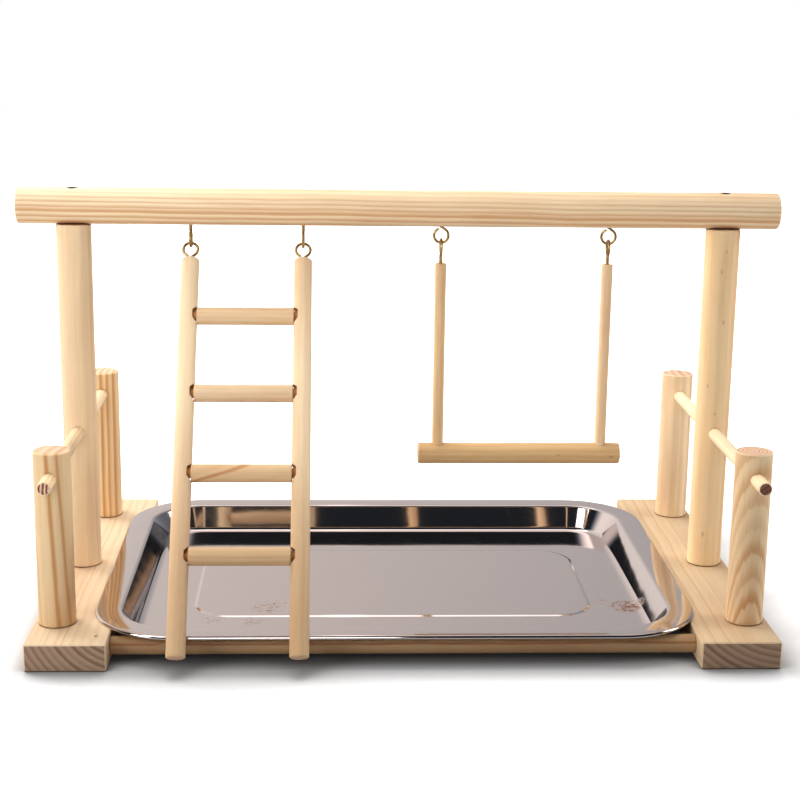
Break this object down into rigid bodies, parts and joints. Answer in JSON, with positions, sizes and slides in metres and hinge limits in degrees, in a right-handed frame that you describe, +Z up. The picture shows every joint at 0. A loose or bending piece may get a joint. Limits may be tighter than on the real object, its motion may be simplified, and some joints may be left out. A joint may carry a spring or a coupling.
{
  "type": "parrot play stand",
  "caption": "Tabletop perch frame of wooden dowels on two base boards, with a leaning ladder, a hanging swing and a loose metal tray between the boards.",
  "frame": {"origin": "Middle of the footprint, boards and ladder foot together, on the plane the stand rests on.", "axes": "+X along the top perch, from the ladder's side to the swing's; +Y from the ladder's foot towards the back; +Z up."},
  "size_m": [0.526, 0.326, 0.288],
  "materials": {
    "pine_beam": "clear matt, sanded",
    "pine_posts": "clear matt, sanded",
    "pine_boards": "clear matt, sanded",
    "pine_rods": "clear matt, sanded",
    "pine_ladder": "clear matt, sanded",
    "pine_swing": "clear matt, sanded",
    "tray_steel": "mirror polished",
    "eye_brass": "dull plated",
    "screw_steel": "dark coated"
  },
  "bodies": {
    "stand": {"left_base_board": "pine_boards", "right_base_board": "pine_boards", "front_crossbar": "pine_rods", "rear_crossbar": "pine_rods", "left_tall_post": "pine_posts", "right_tall_post": "pine_posts", "left_front_post": "pine_posts", "left_rear_post": "pine_posts", "right_front_post": "pine_posts", "right_rear_post": "pine_posts", "top_perch": "pine_beam", "left_side_perch": "pine_rods", "right_side_perch": "pine_rods", "top_perch_screws": "screw_steel", "post_screws": "screw_steel", "ladder_hanger_left": "eye_brass", "ladder_hanger_right": "eye_brass", "swing_hanger_left": "eye_brass", "swing_hanger_right": "eye_brass"},
    "ladder": {"ladder_left_rail": "pine_ladder", "ladder_right_rail": "pine_ladder", "ladder_rung_1": "pine_ladder", "ladder_rung_2": "pine_ladder", "ladder_rung_3": "pine_ladder", "ladder_rung_4": "pine_ladder", "ladder_left_eye": "eye_brass", "ladder_right_eye": "eye_brass"},
    "swing": {"swing_left_rod": "pine_swing", "swing_right_rod": "pine_swing", "swing_perch": "pine_swing", "swing_left_eye": "eye_brass", "swing_right_eye": "eye_brass"},
    "tray": {"tray": "tray_steel"}
  },
  "joints": [
    {"name": "ladder_lift", "type": "hinge", "parent": "stand", "child": "ladder", "pos_m": [-0.1065, 0.00503, 0.2503], "axis": [-1, 0, 0], "range_deg": [0, 55]},
    {"name": "swing_hang", "type": "hinge", "parent": "stand", "child": "swing", "pos_m": [0.0865, 0.00503, 0.2518], "axis": [1, 0, 0], "range_deg": [-90, 90]},
    {"name": "tray_lift", "type": "slide", "parent": "stand", "child": "tray", "axis": [0, 0.5636, 0.826], "range_m": [0, 0.06]}
  ]
}
